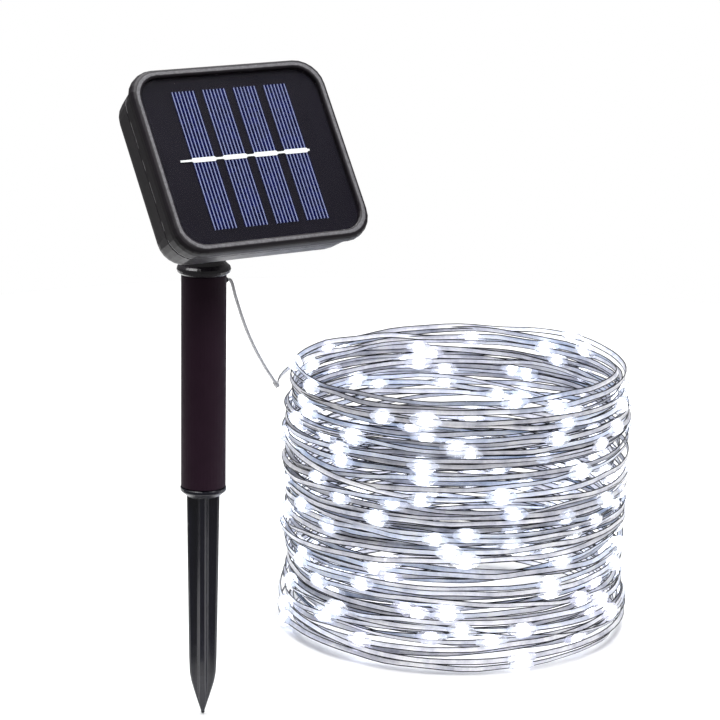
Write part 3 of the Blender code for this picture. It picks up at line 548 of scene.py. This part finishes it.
def ribbon_section(side, up):
    """The string's cross-section round its centre: two round wires joined by a thin flat web."""
    points = []
    for sign in (1, -1):
        for step in range(STRAND_SIDES):
            angle = STRAND_ARC * (step / (STRAND_SIDES - 1) - 0.5)
            across = STRAND_OFFSET + STRAND_RADIUS * math.cos(angle)
            points.append(sign * (across * side + STRAND_RADIUS * math.sin(angle) * up))
    return points


def bead_places(line):
    """The line's points that carry a bead, as {index: how much light it sheds along the string}."""
    rng = random.Random(GLOW_SEED)
    places = {}
    next_bead = BEAD_SPACING / 2
    travelled = 0.0
    for i in range(1, len(line) - 1):
        travelled += (line[i] - line[i - 1]).length
        if travelled >= next_bead:
            places[i] = rng.random()
            next_bead += BEAD_SPACING
    return places


def shed_glow(line, places):
    """For each point of the line, how strongly the nearest beads light the jacket there."""
    glow = [0.0] * len(line)
    for index, strength in places.items():
        for i in range(max(0, index - GLOW_REACH), min(len(line), index + GLOW_REACH + 1)):
            glow[i] = max(glow[i], strength * (1 - abs(i - index) / GLOW_REACH))
    return glow


def string_sides(line):
    """For each point of the line, the direction from one wire to the other, which rolls to and fro."""
    sides = []
    travelled = 0.0
    for i, point in enumerate(line):
        ahead = (line[min(i + 1, len(line) - 1)] - line[max(i - 1, 0)]).normalized()
        upright = (Vector((0, 0, 1)) - ahead * ahead.z).normalized()
        outward = ahead.cross(upright)
        if i:
            travelled += (point - line[i - 1]).length
        roll = sum(size * math.sin(travelled * pace + phase) for size, pace, phase in TWIST_WAVES)
        sides.append(upright * math.cos(roll) + outward * math.sin(roll))
    return sides


def make_string(materials, line, sides, places):
    """The twin wire as one mesh, with a material for its wires and one for the jacket between them."""
    bm = bmesh.new()
    layer = bm.verts.layers.float.new("glow")
    rows = []
    for i, (point, side, glow) in enumerate(zip(line, sides, shed_glow(line, places))):
        ahead = (line[min(i + 1, len(line) - 1)] - line[max(i - 1, 0)]).normalized()
        row = [bm.verts.new(point + offset) for offset in ribbon_section(side, ahead.cross(side))]
        for vert in row:
            vert[layer] = glow
        rows.append(row)
    count = len(rows[0])
    for row_a, row_b in zip(rows, rows[1:]):
        for k in range(count):
            n = (k + 1) % count
            face = bm.faces.new((row_a[k], row_a[n], row_b[n], row_b[k]))
            face.material_index = int(k % STRAND_SIDES == STRAND_SIDES - 1)
    bm.faces.new(list(reversed(rows[0])))
    bm.faces.new(rows[-1])
    bmesh.ops.recalc_face_normals(bm, faces=bm.faces)
    string = new_object("light_string", bm, materials["light_wire"])
    string.data.materials.append(materials["web_jacket"])
    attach(string, "stake")
    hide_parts("light_coil")
    return string


def add_bead(bm, layer, middle, along, side, size, rng):
    """A clear drop round the string: fat in its middle, drawn in at both ends, and a little uneven."""
    profile = [(-share, width) for share, width in reversed(BEAD_PROFILE[1:])] + BEAD_PROFILE
    up = along.cross(side).normalized()
    rows = []
    for share, width in profile:
        row = []
        for k in range(BEAD_SIDES):
            angle = 2 * math.pi * (k + 0.5) / BEAD_SIDES
            lump = 1 + rng.uniform(-BEAD_LUMPS, BEAD_LUMPS)
            out = side * math.cos(angle) + BEAD_FLATNESS * up * math.sin(angle)
            place = middle + along * BEAD_HALF_LENGTH * size * share
            place += out * BEAD_HALF_WIDTH * size * width * lump
            place.z = max(place.z, BEAD_LOWEST)
            vert = bm.verts.new(place)
            vert[layer] = max(0.0, 1 - BEAD_GLOW_FADE * abs(share))
            row.append(vert)
        rows.append(row)
    for row_a, row_b in zip(rows, rows[1:]):
        for k in range(BEAD_SIDES):
            n = (k + 1) % BEAD_SIDES
            bm.faces.new((row_a[k], row_a[n], row_b[n], row_b[k]))
    bm.faces.new(list(reversed(rows[0])))
    bm.faces.new(rows[-1])


def add_core(bm, middle, along, side, size):
    """The light itself inside a bead."""
    turn = Matrix((along, side, along.cross(side))).transposed().to_4x4()
    radii = [radius * size for radius in CORE_RADII]
    place = Matrix.Translation(middle) @ turn @ Matrix.Diagonal((*radii, 1))
    bmesh.ops.create_icosphere(bm, subdivisions=2, radius=1.0, matrix=place)


def make_beads(materials, line, sides, places):
    """A bead at each bead place, all in one piece, and their cores in another."""
    rng = random.Random(BEAD_SEED)
    drops = bmesh.new()
    cores = bmesh.new()
    layer = drops.verts.layers.float.new("glow")
    for i in places:
        along = (line[i + 1] - line[i - 1]).normalized()
        side = (sides[i] - along * sides[i].dot(along)).normalized()
        size = rng.uniform(*BEAD_SIZES)
        add_bead(drops, layer, line[i], along, side, size, rng)
        add_core(cores, line[i], along, side, size)
    drop_piece = new_object("led_beads", drops, materials["bead_resin"], smooth=False)
    core_piece = new_object("led_cores", cores, materials["bead_core"])
    for piece in (drop_piece, core_piece):
        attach(piece, "stake")
    return drop_piece, core_piece


def make_camera():
    """The camera, placed by its angles round the stake. Returns the point that it looks at."""
    right = Vector((math.cos(CAMERA_AZIMUTH), math.sin(CAMERA_AZIMUTH), 0))
    level = Vector((math.sin(CAMERA_AZIMUTH), -math.cos(CAMERA_AZIMUTH), 0))
    back = level * math.cos(CAMERA_ELEVATION) + Vector((0, 0, math.sin(CAMERA_ELEVATION)))
    target = right * TARGET_RIGHT + Vector((0, 0, TARGET_HEIGHT))
    camera = bpy.data.objects.new("camera", bpy.data.cameras.new("camera"))
    bpy.context.scene.collection.objects.link(camera)
    camera.data.lens = CAMERA_LENS
    camera.data.sensor_width = CAMERA_SENSOR
    camera.data.clip_end = CAMERA_CLIP_END
    turn = Matrix((right, back.cross(right), back)).transposed().to_4x4()
    place = Matrix.Translation(target + back * CAMERA_DISTANCE)
    camera.matrix_world = place @ turn @ Matrix.Rotation(CAMERA_ROLL, 4, "Z")
    bpy.context.scene.camera = camera
    return target


def add_area_light(name, place, target, size, power):
    light = bpy.data.lights.new(name, "AREA")
    light.size = size
    light.energy = power
    obj = bpy.data.objects.new(name, light)
    bpy.context.scene.collection.objects.link(obj)
    obj.location = place
    obj.rotation_euler = (Vector(target) - Vector(place)).to_track_quat("-Z", "Y").to_euler()


def make_world():
    """A white surround for the camera, and a dimmer one for what the parts reflect."""
    world = bpy.data.worlds.new("studio")
    bpy.context.scene.world = world
    world.use_nodes = True
    nodes = world.node_tree.nodes
    links = world.node_tree.links
    background = nodes["Background"]
    background.inputs["Color"].default_value = (1.0, 1.0, 1.0, 1.0)
    strength = nodes.new("ShaderNodeMapRange")
    strength.inputs["To Min"].default_value = WORLD_LIGHT
    strength.inputs["To Max"].default_value = 1.0
    links.new(nodes.new("ShaderNodeLightPath").outputs["Is Camera Ray"], strength.inputs["Value"])
    links.new(strength.outputs["Result"], background.inputs["Strength"])


def make_studio(target):
    """The white surround, a small pale floor, and two soft lights."""
    bpy.context.scene.view_settings.view_transform = "Standard"
    make_world()
    m = Shader("pale_floor", Roughness=0.9)
    stops = [(0.3, (0.93, 0.93, 0.935)), (0.7, (0.95, 0.95, 0.952))]
    m.feed("Base Color", m.ramp(m.noise(3, 2), stops))
    bm = bmesh.new()
    bmesh.ops.create_circle(bm, cap_ends=True, segments=FLOOR_SIDES, radius=FLOOR_RADIUS)
    floor = new_object("floor", bm, m.material)
    floor.location = FLOOR_CENTRE
    add_area_light("overhead", OVERHEAD_PLACE, OVERHEAD_TARGET, OVERHEAD_SIZE, OVERHEAD_POWER)
    add_area_light("key", KEY_PLACE, target, KEY_SIZE, KEY_POWER)


def main():
    target = make_camera()
    materials = make_materials()
    paint_frame(materials)
    lead = make_lead(materials)
    ahead = (lead[-1] - lead[-2]).normalized()
    sleeve_end = lead[-1] + ahead * (SLEEVE_LENGTH + 2 * SLEEVE_GAP)
    line = string_line(sleeve_end)
    sides = string_sides(line)
    places = bead_places(line)
    string = make_string(materials, line, sides, places)
    beads = make_beads(materials, line, sides, places)
    make_studio(target)


main()
